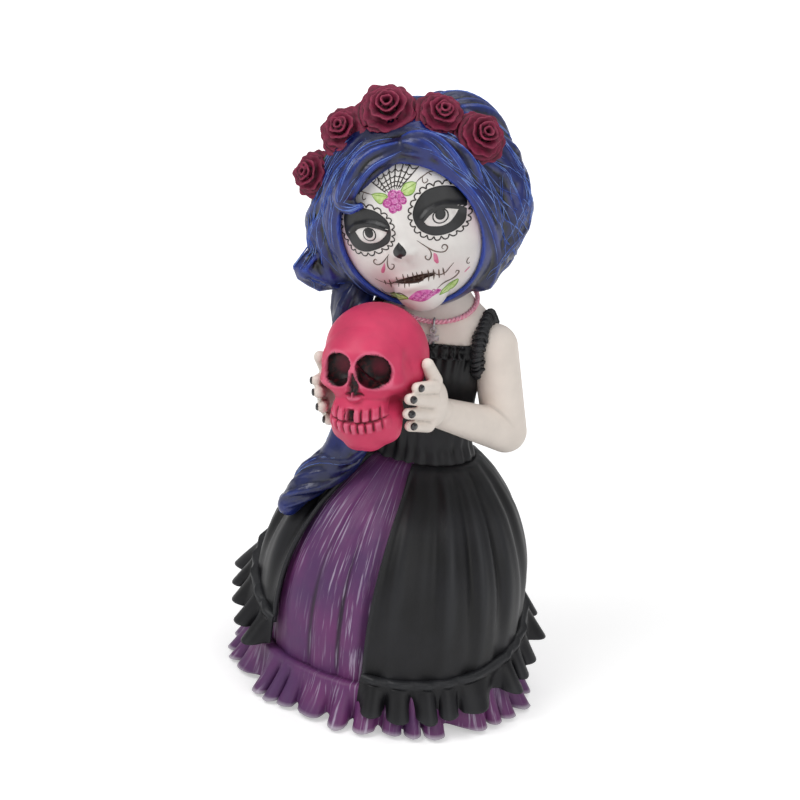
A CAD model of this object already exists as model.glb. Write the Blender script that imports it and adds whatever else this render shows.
import math

import bmesh
import bpy
import numpy as np
from mathutils import Matrix, Vector
from mathutils.bvhtree import BVHTree


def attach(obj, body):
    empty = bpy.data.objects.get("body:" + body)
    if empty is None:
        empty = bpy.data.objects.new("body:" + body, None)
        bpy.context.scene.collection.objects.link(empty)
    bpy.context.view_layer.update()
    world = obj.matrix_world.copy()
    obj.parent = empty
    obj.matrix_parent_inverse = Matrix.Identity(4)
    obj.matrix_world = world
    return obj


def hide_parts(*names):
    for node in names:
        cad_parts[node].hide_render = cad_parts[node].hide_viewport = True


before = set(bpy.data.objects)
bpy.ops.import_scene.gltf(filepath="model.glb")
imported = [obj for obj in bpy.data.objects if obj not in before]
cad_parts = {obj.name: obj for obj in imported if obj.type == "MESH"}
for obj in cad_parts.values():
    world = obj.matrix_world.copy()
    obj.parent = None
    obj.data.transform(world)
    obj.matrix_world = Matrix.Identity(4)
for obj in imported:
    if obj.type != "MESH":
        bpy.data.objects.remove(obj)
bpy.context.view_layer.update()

bl_info = {
    "name": "Catrina figure",
    "version": (1, 0, 0),
    "blender": (4, 5, 0),
    "location": "3D View > Sidebar > Catrina",
    "description": "Dresses, paints and lights the packed catrina figure",
    "category": "Object",
}

MM = 0.001

# The doll's frames, in millimetres, the same as the part's own.
POST = Vector((3.0, 5.0, 0.0))
HEAD_CENTRE = Vector((-3.0, -3.0, 149.5))
HEAD_TURN = (Matrix.Rotation(math.radians(22), 3, "Z")
             @ Matrix.Rotation(math.radians(-25), 3, "Y")
             @ Matrix.Rotation(math.radians(3), 3, "X"))
HEAD_HALF = Vector((24.5, 24.0, 27.5))
SKULL_CENTRE = Vector((6.0, -32.0, 112.0))
SKULL_TURN = Matrix.Rotation(math.radians(12), 3, "Z") @ Matrix.Rotation(math.radians(-8), 3, "Y")
TORSO_TURN = Matrix.Rotation(math.radians(15), 3, "Z")
NECK_CENTRE = Vector((3.0, 5.0, 123.1)) + Matrix.Rotation(math.radians(28), 3, "Z") @ Vector((0, -1.9, 0))
NECK_TURN = (Matrix.Rotation(math.radians(28), 3, "Z") @ Matrix.Rotation(math.radians(-4), 3, "Y")
             @ Matrix.Rotation(math.radians(20), 3, "X"))

# The bell of the skirt: height share, width share, share of the drift towards the post.
BELL = ((0, .95, 0), (.18, .985, 0), (.40, 1, .05), (.60, .95, .25), (.80, .79, .60),
        (.93, .60, .90), (1, .47, 1))
BELL_FOOT, BELL_TOP, BELL_WIDE, BELL_DEEP = 0.4, 74.0, 43.0, 38.0
BODICE = ((74, 16.7, 14.2, 0), (80.1, 15.1, 12.8, 0), (90, 14.8, 12.3, 0.3), (102.1, 16.55, 12.9, 1.4),
          (112, 18.3, 12.3, 0))

LOCK_LEFT = ((.99, .19, .24), (.96, .12, -.23), (.72, .01, -.56), (.49, -.06, -.82))
LOCK_RIGHT = ((-.34, -.10, .69), (-.72, -.21, .41), (-.96, -.16, .07), (-1.04, -.08, -.27),
              (-1.26, -.16, -.33), (-1.41, -.30, -.22))
FRINGE_LEFT = ((.27, -.72, .79), (.56, -.66, .70), (.82, -.55, .38), (.90, -.40, .02))
FRINGE_RIGHT = ((.27, -.73, .79), (-.10, -.76, .76), (-.40, -.82, .62), (-.56, -.80, .47), (-.47, -.88, .38),
                (-.33, -.93, .375))
TRESS_TOP = ((-.99, .03, -.45), (-1.13, -.16, -.87), (-1.23, -.32, -1.30), (-1.32, -.45, -1.74))
TRESS_FOOT = ((-30, 1.04, 8.8), (-33.7, .96, 7.8), (-38, .864, 6.6), (-41.5, .769, 4.7))

FINGERS = (((16.8, 2, -6.8), (15, -7, -4.6)), ((17, 1, -10.6), (13.6, -9.4, -7.2)),
           ((16.4, 1, -14.4), (12.8, -9, -11.6)), ((14.8, 1.6, -18.2), (12.2, -6, -16.2)))

ROSES = ((138.6, 6.6), (108.8, 7.4), (82.4, 9.2), (54.3, 7.2), (30.9, 7.8))

# Painted lines and shapes of the face, as x and z on the head's own front.
PAINT = {
    "mask_right": ((-15.0, 9.1), (-13.4, 10.0), (-10.8, 9.9), (-8.4, 9.1), (-5.8, 7.9), (-3.9, 6.0),
                   (-2.8, 4.2), (-2.6, 2.1), (-3.4, -0.1), (-4.6, -1.7), (-6.7, -2.5), (-9.6, -3.0),
                   (-12.3, -3.1), (-14.8, -2.3), (-16.2, -0.9), (-16.7, 1.0), (-17.3, 3.1),
                   (-16.7, 5.8), (-16.0, 7.8)),
    "mask_left": ((5.4, 5.8), (7.1, 7.5), (9.2, 8.7), (11.5, 8.8), (14.1, 8.2), (16.4, 6.9), (18.0, 5.1),
                  (18.7, 3.1), (18.5, 0.8), (17.8, -1.2), (16.9, -3.2), (15.5, -4.2), (13.4, -4.7),
                  (10.9, -4.6), (8.5, -4.0), (6.6, -2.8), (5.0, -0.9), (4.3, 1.5), (4.4, 3.8)),
    "white_right": ((-13.8, 3.3), (-12.2, 4.0), (-9.9, 4.2), (-7.5, 3.9), (-5.2, 3.1), (-3.8, 1.5),
                    (-5.0, 0.3), (-7.0, -0.7), (-9.0, -0.9), (-11.2, -0.5), (-12.8, 0.7)),
    "white_left": ((6.5, 1.2), (8.4, 2.3), (10.2, 2.7), (12.4, 2.6), (14.4, 1.9), (16.3, 0.9),
                   (15.8, 0.0), (14.4, -1.1), (12.9, -1.9), (10.9, -2.0), (8.9, -1.3), (7.2, -0.3)),
    "nose": ((-1.5, -2.0), (-0.5, -3.8), (-0.3, -5.3), (-1.1, -6.2), (-2.0, -6.3), (-2.6, -7.0),
             (-3.0, -6.6), (-3.6, -5.9), (-4.2, -5.2), (-4.0, -4.1), (-3.0, -3.1)),
    "mouth": ((-9.2, -14.7), (-6.1, -13.7), (-3.7, -13.3), (-1.5, -13.3), (0.0, -13.4), (1.7, -13.9),
              (3.9, -14.9), (3.2, -15.4), (1.4, -15.1), (-0.1, -15.4), (-1.6, -15.3), (-3.9, -15.0),
              (-6.3, -14.9)),
    "mouth_line": ((-13.6, -12.0), (-12.2, -13.2), (-10.6, -14.1), (-9.2, -14.7), (-5.8, -14.2),
                   (-1.6, -14.2), (1.5, -14.5), (3.7, -15.0), (5.1, -15.8), (6.7, -15.7), (8.6, -14.5),
                   (9.9, -13.7)),
    "chin_line_left": ((3.3, -19.1), (4.7, -18.7), (6.2, -18.8), (7.7, -18.6), (9.1, -18.0),
                       (9.9, -17.2), (9.5, -16.6), (8.9, -17.2)),
    "chin_line_right": ((-13.9, -16.2), (-13.5, -17.9), (-11.5, -18.4), (-7.6, -17.4), (-5.9, -18.4),
                        (-5.3, -19.3)),
    "chin_flower": ((-5.5, -19.4), (-4.3, -18.6), (-2.1, -17.7), (-0.0, -17.9), (1.7, -18.8),
                    (2.1, -19.7), (3.2, -19.2), (4.0, -20.1), (3.0, -20.5), (1.6, -20.7), (-0.1, -21.2),
                    (-1.9, -21.2), (-3.7, -20.4)),
    "chin_leaf_left": ((3.0, -21.3), (4.2, -20.3), (5.7, -20.0), (8.4, -19.6), (7.6, -21.0),
                       (5.7, -22.2), (4.4, -21.6)),
    "chin_leaf_right": ((-12.1, -18.3), (-9.1, -17.8), (-6.5, -18.2), (-5.4, -19.2), (-7.8, -19.4),
                        (-11.5, -20.6)),
    "brow_leaf_right": ((-5.2, 12.3), (-3.8, 12.3), (-1.8, 11.7), (-0.8, 10.7), (-2.2, 9.8),
                        (-3.3, 9.3), (-4.4, 10.4)),
    "brow_leaf_left": ((7.9, 11.6), (6.7, 12.3), (5.0, 12.4), (3.7, 11.4), (3.4, 10.7), (4.2, 9.5),
                       (5.6, 9.2), (6.8, 9.8)),
    "tendril_right": ((-5.2, 12.3), (-6.5, 12.9), (-8.0, 13.6), (-9.3, 13.7)),
    "tendril_right_curl": ((-7.3, 13.2), (-8.1, 12.3), (-8.1, 11.5), (-7.5, 11.4), (-7.2, 11.8)),
    "tendril_left": ((7.6, 11.6), (9.0, 12.3), (10.5, 12.7), (11.7, 12.9), (12.8, 12.6)),
    "tendril_left_curl": ((9.8, 12.5), (9.5, 11.3), (10.0, 10.7), (10.9, 11.0), (10.7, 11.6)),
    "tendril_left_tick": ((11.5, 12.8), (12.2, 11.8)),
    "tendril_right_tick": ((-8.5, 13.6), (-8.9, 12.9)),
    "scroll_left": ((3.2, -3.3), (4.2, -4.8), (5.3, -6.4), (6.5, -7.9), (7.9, -8.9), (9.2, -9.2),
                    (10.2, -8.4), (10.1, -7.5), (9.4, -7.2), (8.8, -7.8), (9.1, -8.4)),
    "scroll_left_end": ((5.1, -6.1), (5.6, -7.7), (5.2, -9.2), (4.2, -10.0), (3.6, -9.4), (3.7, -8.6),
                        (4.3, -8.7)),
    "drop_left": ((6.2, -8.4), (6.8, -9.2), (6.7, -10.6), (6.3, -11.9), (5.7, -11.9), (5.4, -10.9),
                  (5.7, -9.6)),
    "scroll_right": ((-5.8, -5.0), (-7.2, -6.0), (-8.5, -6.9), (-10.1, -7.4), (-11.1, -6.9),
                     (-11.2, -6.1), (-10.5, -5.6), (-10.0, -6.0)),
    "scroll_right_end": ((-6.4, -5.6), (-7.3, -7.3), (-7.6, -8.8), (-7.1, -9.7), (-6.1, -9.3),
                         (-5.7, -8.4), (-6.4, -8.0)),
    "drop_right": ((-8.1, -7.1), (-9.0, -8.0), (-10.1, -9.2), (-10.4, -10.2), (-9.7, -10.3),
                   (-8.9, -9.4), (-8.3, -8.2)),
    "cheek_curl": ((14.0, -14.3), (13.2, -14.7), (12.7, -15.6), (12.9, -16.2), (13.4, -15.9)),
    "cheek_dash": ((12.8, -17.4), (11.8, -17.9), (10.9, -18.4)),
    "lid_right": ((-15.3, 3.4), (-12.9, 4.9), (-9.4, 5.0), (-6.5, 4.1), (-3.6, 2.2)),
    "lid_left": ((6.4, 1.6), (8.6, 3.1), (11.0, 3.6), (13.9, 3.0), (16.7, 1.2), (17.9, 0.0)),
}
BROW_LOBES = ((0.8, 10.7, 1.5), (2.5, 9.8, 1.6), (3.1, 8.5, 1.2), (-1.2, 9.0, 1.6), (-0.1, 7.3, 1.5),
              (1.3, 7.3, 1.3), (1.0, 8.9, 1.5))
WEB_FROM = ((-0.9, 11.7), (-0.2, 11.5), (0.6, 11.6), (1.0, 11.7), (1.6, 11.8), (2.0, 11.7),
            (2.4, 11.6), (2.9, 11.6))
WEB_TO = ((-4.6, 15.8), (-3.5, 18.6), (-1.0, 19.3), (1.6, 20.0), (4.3, 20.2), (6.8, 19.0),
          (8.4, 17.6), (10.4, 15.8))
STITCH_TOP = ((-10.8, -12.8), (-9.2, -12.8), (-6.7, -12.3), (-4.4, -11.9), (-3.1, -12.3),
              (-1.5, -12.2), (-0.4, -12.4), (1.1, -12.6), (2.8, -12.8), (4.2, -13.3), (5.5, -13.9),
              (6.7, -13.9))
STITCH_FOOT = ((-11.2, -14.6), (-10.0, -15.9), (-7.1, -15.6), (-5.1, -16.0), (-3.6, -15.8),
               (-2.0, -15.2), (-0.7, -15.6), (0.5, -15.5), (1.9, -16.1), (3.2, -16.3), (4.5, -16.7),
               (6.0, -16.5))


# --- shapes ---------------------------------------------------------------------------------------

def head_point(x, y, z):
    return HEAD_CENTRE + HEAD_TURN @ Vector((x, y, z))


def head_share(p):
    return head_point(p[0] * HEAD_HALF.x, p[1] * HEAD_HALF.y, p[2] * HEAD_HALF.z)


def bell_at(share):
    """Width share and drift share of the bell at a height share, on a smooth curve."""
    k = max(i for i in range(len(BELL) - 1) if BELL[i][0] <= max(share, 0) or i == 0)
    a, b = BELL[k], BELL[k + 1]
    before, after = BELL[max(k - 1, 0)], BELL[min(k + 2, len(BELL) - 1)]
    t = (share - a[0]) / (b[0] - a[0])
    out = []
    for i in (1, 2):
        run = b[0] - a[0]
        slope_a = (b[i] - before[i]) / max(b[0] - before[0], 1e-6) * run
        slope_b = (after[i] - a[i]) / max(after[0] - a[0], 1e-6) * run
        out.append((2 * t**3 - 3 * t**2 + 1) * a[i] + (t**3 - 2 * t**2 + t) * slope_a
                   + (3 * t**2 - 2 * t**3) * b[i] + (t**3 - t**2) * slope_b)
    return out


def on_skirt(turn, share, out=0.0):
    """A point on the bell. turn is in degrees from the front towards the doll's left."""
    wide, drift = bell_at(share)
    a = math.radians(turn)
    hw, hd = BELL_WIDE * wide, BELL_DEEP * wide
    reach = 1 / math.hypot(math.sin(a) / hw, math.cos(a) / hd) + out
    z = BELL_FOOT + (BELL_TOP - BELL_FOOT) * share
    return Vector((POST.x * drift + reach * math.sin(a), POST.y * drift - reach * math.cos(a), z))


def seam_share(turn):
    """The height share at which the slanting seam crosses the bell."""
    low, high = 0.0, 1.0
    for _ in range(24):
        mid = (low + high) / 2
        p = on_skirt(turn, mid)
        if p.z < 28.0 - 0.20 * p.x + 0.28 * p.y:
            low = mid
        else:
            high = mid
    return (low + high) / 2


def smooth_line(points, count):
    """Points evenly along a smooth curve through the given ones."""
    p = [Vector(q) for q in points]
    p = [p[0] * 2 - p[1]] + p + [p[-1] * 2 - p[-2]]
    out = []
    for i in range(count):
        s = i / (count - 1) * (len(p) - 3)
        k = min(int(s), len(p) - 4)
        t = s - k
        a, b, c, d = p[k:k + 4]
        out.append(0.5 * ((2 * b) + (c - a) * t + (2 * a - 5 * b + 4 * c - d) * t * t
                          + (3 * b - a - 3 * c + d) * t**3))
    return out


def new_object(name, points, faces):
    mesh = bpy.data.meshes.new(name)
    mesh.from_pydata([tuple(Vector(p) * MM) for p in points], [], faces)
    mesh.validate()
    mesh.polygons.foreach_set("use_smooth", [True] * len(mesh.polygons))
    return placed(name, mesh)


def placed(name, data):
    """A new object in the scene, at the origin."""
    obj = bpy.data.objects.new(name, data)
    bpy.context.scene.collection.objects.link(obj)
    return obj


def merged(name, bm, objects):
    """One object from what bm holds and from other objects, which are removed."""
    for o in objects:
        bm.from_mesh(o.data)
        bpy.data.objects.remove(o)
    mesh = bpy.data.meshes.new(name)
    bm.to_mesh(mesh)
    bm.free()
    return placed(name, mesh)


def outward(obj):
    """Turns the faces of closed shells to point out."""
    bm = bmesh.new()
    bm.from_mesh(obj.data)
    bmesh.ops.recalc_face_normals(bm, faces=bm.faces)
    bm.to_mesh(obj.data)
    bm.free()


def baked(obj):
    """Applies what is on an object, and leaves a plain mesh."""
    bpy.context.view_layer.update()
    mesh = bpy.data.meshes.new_from_object(obj.evaluated_get(bpy.context.evaluated_depsgraph_get()))
    if obj.type == "CURVE":
        name = obj.name
        bpy.data.objects.remove(obj)
        obj = placed(name, mesh)
    else:
        obj.modifiers.clear()
        obj.data = mesh
    mesh.polygons.foreach_set("use_smooth", [True] * len(mesh.polygons))
    return obj


def joined(name, objects):
    """One mesh from several objects, which are removed."""
    obj = merged(name, bmesh.new(), objects)
    obj.data.polygons.foreach_set("use_smooth", [True] * len(obj.data.polygons))
    return obj


def cast(name, nodes, grain, rounds, extra=()):
    """One skin over copies of CAD nodes and other solids, as a figure is cast in one."""
    bm = bmesh.new()
    for n in nodes:
        bm.from_mesh(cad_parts[n].data)
    bmesh.ops.remove_doubles(bm, verts=bm.verts, dist=1e-6)
    obj = merged(name, bm, extra)
    remesh = obj.modifiers.new("Skin", "REMESH")
    remesh.mode = "VOXEL"
    remesh.voxel_size = grain * MM
    if rounds:
        ease = obj.modifiers.new("Ease", "SMOOTH")
        ease.factor = 0.5
        ease.iterations = rounds
    return baked(obj)


def coordinates(obj):
    """Every vertex's place, in millimetres, and its normal."""
    co, no = np.empty((2, len(obj.data.vertices) * 3))
    obj.data.vertices.foreach_get("co", co)
    obj.data.vertices.foreach_get("normal", no)
    return co.reshape(-1, 3) / MM, no.reshape(-1, 3)


def put(obj, co):
    obj.data.vertices.foreach_set("co", (co * MM).ravel())
    obj.data.update()


def attribute(obj, name, values):
    layer = obj.data.attributes.new(name, "FLOAT", "POINT")
    layer.data.foreach_set("value", np.asarray(values, dtype=np.float32))


def relief(obj, depth, rounds):
    """Stores how far each point stands above (1) or lies below (0) the surface around it."""
    co, no = coordinates(obj)
    edges = np.empty(len(obj.data.edges) * 2, dtype=np.int64)
    obj.data.edges.foreach_get("vertices", edges)
    a, b = edges.reshape(-1, 2).T
    n = len(co)
    near = np.maximum(np.bincount(a, minlength=n) + np.bincount(b, minlength=n), 1)
    soft = co.copy()
    for _ in range(rounds):
        soft = 0.3 * soft + 0.7 * np.stack([
            (np.bincount(a, soft[b, i], n) + np.bincount(b, soft[a, i], n)) / near for i in range(3)], 1)
    height = ((co - soft) * no).sum(1)
    attribute(obj, "relief", np.clip(0.5 + height / depth / 2, 0, 1))


def local(co, centre, turn):
    """Points in the own axes of the head or the skull."""
    return (co - np.array(centre)) @ np.array(turn)


def bump(p, centre, size, height):
    """A rounded swelling at centre, of half widths size, height high."""
    d = ((p - np.array(centre)) / np.array(size))**2
    return height * np.exp(-d.sum(1))


def line_distance(p, line):
    """Distance in x and z from points to a broken line."""
    best = np.full(len(p), 1e9)
    q = np.stack([p[:, 0], p[:, 2]], 1)
    for a, b in zip(line, line[1:]):
        a, b = np.array(a), np.array(b)
        t = np.clip(((q - a) @ (b - a)) / ((b - a) @ (b - a)), 0, 1)
        best = np.minimum(best, np.linalg.norm(q - a - t[:, None] * (b - a), axis=1))
    return best


def sheet_of(name, rows, closed, thick):
    """A surface through rows of points, with a wall put on inside."""
    m = len(rows[0])
    points = [p for r in rows for p in r]
    faces = []
    for i in range(len(rows) - 1):
        for j in range(m if closed else m - 1):
            k = (j + 1) % m
            faces.append((i * m + j, i * m + k, (i + 1) * m + k, (i + 1) * m + j))
    obj = new_object(name, points, faces)
    attribute(obj, "around", [0.040 * math.atan2(p.x - POST.x, POST.y - p.y) for p in points])
    attribute(obj, "along", [p.z * MM for p in points])
    wall = obj.modifiers.new("Wall", "SOLIDIFY")
    wall.thickness = thick * MM
    wall.offset = -1
    return baked(obj)


def settle(obj, material, slot, *nodes):
    """Gives a finished piece its finish and its place in the frame."""
    obj.data.materials.clear()
    obj.data.materials.append(material)
    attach(obj, "figure")
    if nodes:
        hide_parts(*nodes)
    return obj


# --- finishes -------------------------------------------------------------------------------------

def linear(colour):
    return tuple(c / 12.92 if c <= 0.04045 else ((c + 0.055) / 1.055)**2.4 for c in colour[:3]) + (1.0,)


def shade(hexed):
    return tuple(int(hexed[i:i + 2], 16) / 255 for i in (0, 2, 4))


def feed(tree, socket, value):
    """Links another socket to this one, or sets its value."""
    if isinstance(value, bpy.types.NodeSocket):
        tree.links.new(value, socket)
    else:
        socket.default_value = value


def wired(tree, kind, *numbered, operation=None, **named):
    """A new node with its inputs fed, by number or by name with _ for a space."""
    n = tree.nodes.new(kind)
    if operation:
        n.operation = operation
    for key, value in (*enumerate(numbered), *named.items()):
        feed(tree, n.inputs[key.replace("_", " ") if isinstance(key, str) else key], value)
    return n


class Finish:
    """A procedural material put together a node at a time."""

    def __init__(self, name, roughness=0.5, metallic=0.0, coat=0.0, specular=0.5):
        self.material = bpy.data.materials.new(name)
        self.material.use_nodes = True
        self.tree = self.material.node_tree
        self.tree.nodes.clear()
        self.shader = self.node("ShaderNodeBsdfPrincipled", Roughness=roughness, Metallic=metallic,
                                Specular_IOR_Level=specular, Coat_Weight=coat)
        self.node("ShaderNodeOutputMaterial", Surface=self.shader.outputs["BSDF"])
        self.place = self.tree.nodes.new("ShaderNodeTexCoord").outputs["Object"]

    def node(self, kind, *numbered, **named):
        return wired(self.tree, kind, *numbered, **named)

    def noise(self, scale, detail, stretch=None):
        """Mottling; scale is in patches to the metre."""
        place = self.place
        if stretch:
            place = self.node("ShaderNodeMapping", Vector=place, Scale=stretch).outputs["Vector"]
        return self.node("ShaderNodeTexNoise", Vector=place, Scale=scale, Detail=detail).outputs["Fac"]

    def read(self, name):
        """An attribute of the mesh."""
        n = self.tree.nodes.new("ShaderNodeAttribute")
        n.attribute_name = name
        return n.outputs["Fac"]

    def step(self, value, low, high):
        """0 up to low and 1 from high on, or the other way round."""
        n = self.node("ShaderNodeMapRange", Value=value, From_Min=low, From_Max=high)
        n.interpolation_type = "SMOOTHSTEP"
        return n.outputs["Result"]

    def times(self, a, b):
        n = self.node("ShaderNodeMath", a, b, operation="MULTIPLY")
        n.use_clamp = True
        return n.outputs[0]

    def mix(self, amount, a, b):
        n = self.tree.nodes.new("ShaderNodeMix")
        n.data_type = "RGBA"
        feed(self.tree, n.inputs["Factor"], amount)
        for key, colour in (("A", a), ("B", b)):
            known = isinstance(colour, bpy.types.NodeSocket)
            feed(self.tree, n.inputs[key], colour if known else linear(colour))
        return n.outputs["Result"]

    def done(self, colour, rough=None, grain=None, depth=0.0002, strength=0.5):
        """Feeds the shader; grain roughens the surface by depth, in metres."""
        feed(self.tree, self.shader.inputs["Base Color"], colour)
        if rough is not None:
            feed(self.tree, self.shader.inputs["Roughness"], rough)
        if grain is not None:
            b = self.node("ShaderNodeBump", Height=grain, Strength=strength, Distance=depth)
            feed(self.tree, self.shader.inputs["Normal"], b.outputs["Normal"])
        return self.material


def rough_between(f, value, low, high):
    return f.node("ShaderNodeMapRange", Value=value, To_Min=low, To_Max=high).outputs["Result"]


def flesh_finish(name, colour, blushing=True, grey="B9AFA6"):
    f = Finish(name, roughness=0.5, coat=0.06)
    mottle = f.noise(160, 4)
    base = f.mix(f.step(mottle, 0.3, 0.8), colour, tuple(c * 0.965 for c in colour))
    base = f.mix(f.times(f.step(f.read("relief"), 0.5, 0.1), 0.7), base, shade(grey))
    if blushing:
        base = f.mix(f.times(f.read("blush"), 0.62), base, shade("E58FA6"))
    return f.done(base, rough_between(f, mottle, 0.42, 0.6), f.noise(900, 4), 0.00006, 0.25)


def hair_finish(colours):
    f = Finish("navy_hair_paint", roughness=0.38, coat=0.18)
    height = f.read("relief")
    fine = f.noise(300, 4)
    base = f.mix(f.step(f.noise(70, 3), 0.35, 0.7), tuple(c * 0.55 for c in colours.hair), colours.hair)
    base = f.mix(f.step(height, 0.54, 0.26), base, shade("03050C"))
    ridge = f.step(height, 0.62, 0.98)
    base = f.mix(f.times(ridge, 0.8), base, shade("1840A8"))
    return f.done(base, rough_between(f, fine, 0.28, 0.5), fine, 0.0003, 0.6)


def rose_finish(colours):
    f = Finish("rose_paint", roughness=0.62, specular=0.35)
    height = f.read("relief")
    mottle = f.noise(500, 4)
    base = f.mix(f.step(mottle, 0.3, 0.75), colours.rose, tuple(c * 0.72 for c in colours.rose))
    base = f.mix(f.step(height, 0.57, 0.26), base, shade("14050A"))
    base = f.mix(f.times(f.step(height, 0.6, 0.95), 0.7), base, shade("C4546F"))
    return f.done(base, None, mottle, 0.0002, 0.4)


def bone_finish(colours):
    f = Finish("pink_bone_paint", roughness=0.5, specular=0.4)
    mottle = f.noise(110, 4)
    base = f.mix(f.step(mottle, 0.3, 0.8), colours.skull, tuple(c * 0.88 for c in colours.skull))
    base = f.mix(f.times(f.step(f.read("relief"), 0.5, 0.12), 0.9), base, shade("8C1030"))
    base = f.mix(f.times(f.step(f.read("relief"), 0.62, 0.95), 0.5), base, shade("EE7F9C"))
    pits = f.noise(900, 3)
    hollow = f.mix(f.step(pits, 0.45, 0.7), shade("140408"), shade("4A1016"))
    base = f.mix(f.read("hollow"), base, hollow)
    return f.done(base, rough_between(f, mottle, 0.4, 0.6), f.noise(700, 4), 0.0001, 0.3)


def black_finish(colours):
    f = Finish("black_dress_paint", roughness=0.45, specular=0.3)
    cloud = f.noise(70, 5)
    base = f.mix(f.step(cloud, 0.3, 0.75), colours.dress, tuple(c * 1.9 + 0.015 for c in colours.dress))
    base = f.mix(f.times(f.step(f.read("relief"), 0.6, 1.0), 0.55), base, shade("303134"))
    base = f.mix(f.step(f.read("relief"), 0.42, 0.1), base, shade("050506"))
    return f.done(base, rough_between(f, cloud, 0.38, 0.56), f.noise(1100, 3, (1, 1, 0.4)), 0.0001, 0.35)


def purple_finish(colours):
    f = Finish("purple_panel_paint", roughness=0.5, specular=0.4)
    cloud = f.noise(60, 4)
    base = f.mix(f.step(cloud, 0.3, 0.7), colours.panel, shade("6C3468"))
    base = f.mix(f.step(f.read("relief"), 0.45, 0.1), base, shade("241229"))
    down = f.node("ShaderNodeCombineXYZ", X=f.read("around"), Y=f.times(f.read("along"), 0.06))
    streak = f.node("ShaderNodeTexNoise", Vector=down.outputs["Vector"], Scale=1300, Detail=4).outputs["Fac"]
    brushed = f.times(f.step(streak, 0.53, 0.68), f.step(f.noise(60, 2, (1, 1, 0.5)), 0.38, 0.60))
    base = f.mix(f.times(brushed, 0.6), base, shade("C4B8CE"))
    base = f.mix(f.times(f.read("rim"), 0.9), base, shade("D8D3DC"))
    return f.done(base, rough_between(f, streak, 0.4, 0.6), streak, 0.0002, 0.4)


def plain_finish(name, colour, other, scale, roughness=0.6, metallic=0.0, stretch=None, depth=0.0001,
                 coat=0.0):
    f = Finish(name, roughness=roughness, metallic=metallic, coat=coat)
    mottle = f.noise(scale, 4, stretch)
    base = f.mix(f.step(mottle, 0.3, 0.7), colour, other)
    return f.done(base, None, mottle, depth, 0.4)


# --- geometry nodes -------------------------------------------------------------------------------

# a Random Value node's inputs for its least and greatest number, and its output for a number
RANDOM_RANGE, RANDOM_FLOAT = (2, 3), 1


def new_tree(name, sockets):
    tree = bpy.data.node_groups.new(name, "GeometryNodeTree")
    tree.interface.new_socket("Geometry", in_out="INPUT", socket_type="NodeSocketGeometry")
    for label, kind in sockets:
        tree.interface.new_socket(label, in_out="INPUT", socket_type=kind)
    tree.interface.new_socket("Geometry", in_out="OUTPUT", socket_type="NodeSocketGeometry")
    return tree, tree.nodes.new("NodeGroupInput"), tree.nodes.new("NodeGroupOutput")


def end_tree(tree, geometry, given, out):
    """Closes a tree: makes instances real and gives them the material."""
    whole = wired(tree, "GeometryNodeRealizeInstances", Geometry=geometry)
    dressed = wired(tree, "GeometryNodeSetMaterial", Geometry=whole.outputs["Geometry"],
                    Material=given.outputs["Material"])
    tree.links.new(dressed.outputs["Geometry"], out.inputs["Geometry"])
    return tree


def strand_tree():
    """Thickens every curve by its own radius into a rounded strand."""
    tree, given, out = new_tree("hair_strands", (("Sides", "NodeSocketInt"), ("Unit", "NodeSocketFloat"),
                                                  ("Material", "NodeSocketMaterial")))
    ring = wired(tree, "GeometryNodeCurvePrimitiveCircle", Resolution=given.outputs["Sides"],
                 Radius=given.outputs["Unit"])
    tube = wired(tree, "GeometryNodeCurveToMesh", Curve=given.outputs["Geometry"],
                 Profile_Curve=ring.outputs["Curve"], Fill_Caps=True)
    if "Scale" in tube.inputs:
        own = tree.nodes.new("GeometryNodeInputRadius")
        tree.links.new(own.outputs["Radius"], tube.inputs["Scale"])
    return end_tree(tree, tube.outputs["Mesh"], given, out)


def whorl_tree():
    """Repeats one petal round an axis, each a little larger or smaller than the last."""
    tree, given, out = new_tree("petal_whorl", (
        ("Petals", "NodeSocketInt"), ("Step", "NodeSocketFloat"), ("Start", "NodeSocketFloat"),
        ("Unevenness", "NodeSocketFloat"), ("Seed", "NodeSocketInt"), ("Material", "NodeSocketMaterial")))
    line = wired(tree, "GeometryNodeMeshLine", Offset=(0, 0, 0), Count=given.outputs["Petals"])
    index = wired(tree, "GeometryNodeInputIndex")
    turn = wired(tree, "ShaderNodeMath", index.outputs[0], given.outputs["Step"],
                 given.outputs["Start"], operation="MULTIPLY_ADD")
    angles = wired(tree, "ShaderNodeCombineXYZ", Z=turn.outputs[0])
    chance = wired(tree, "FunctionNodeRandomValue", Seed=given.outputs["Seed"])
    for end, operation in zip(RANDOM_RANGE, ("SUBTRACT", "ADD")):
        n = wired(tree, "ShaderNodeMath", 1.0, given.outputs["Unevenness"], operation=operation)
        tree.links.new(n.outputs[0], chance.inputs[end])
    place = wired(tree, "GeometryNodeInstanceOnPoints", Points=line.outputs["Mesh"],
                  Instance=given.outputs["Geometry"], Rotation=angles.outputs["Vector"],
                  Scale=chance.outputs[RANDOM_FLOAT])
    return end_tree(tree, place.outputs["Instances"], given, out)


def grown(obj, tree, **values):
    """Runs a tree on an object with its inputs set, and bakes the result."""
    modifier = obj.modifiers.new("Grown", "NODES")
    modifier.node_group = tree
    for item in tree.interface.items_tree:
        if item.item_type == "SOCKET" and item.in_out == "INPUT" and item.name in values:
            modifier[item.identifier] = values[item.name]
    return baked(obj)


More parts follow.
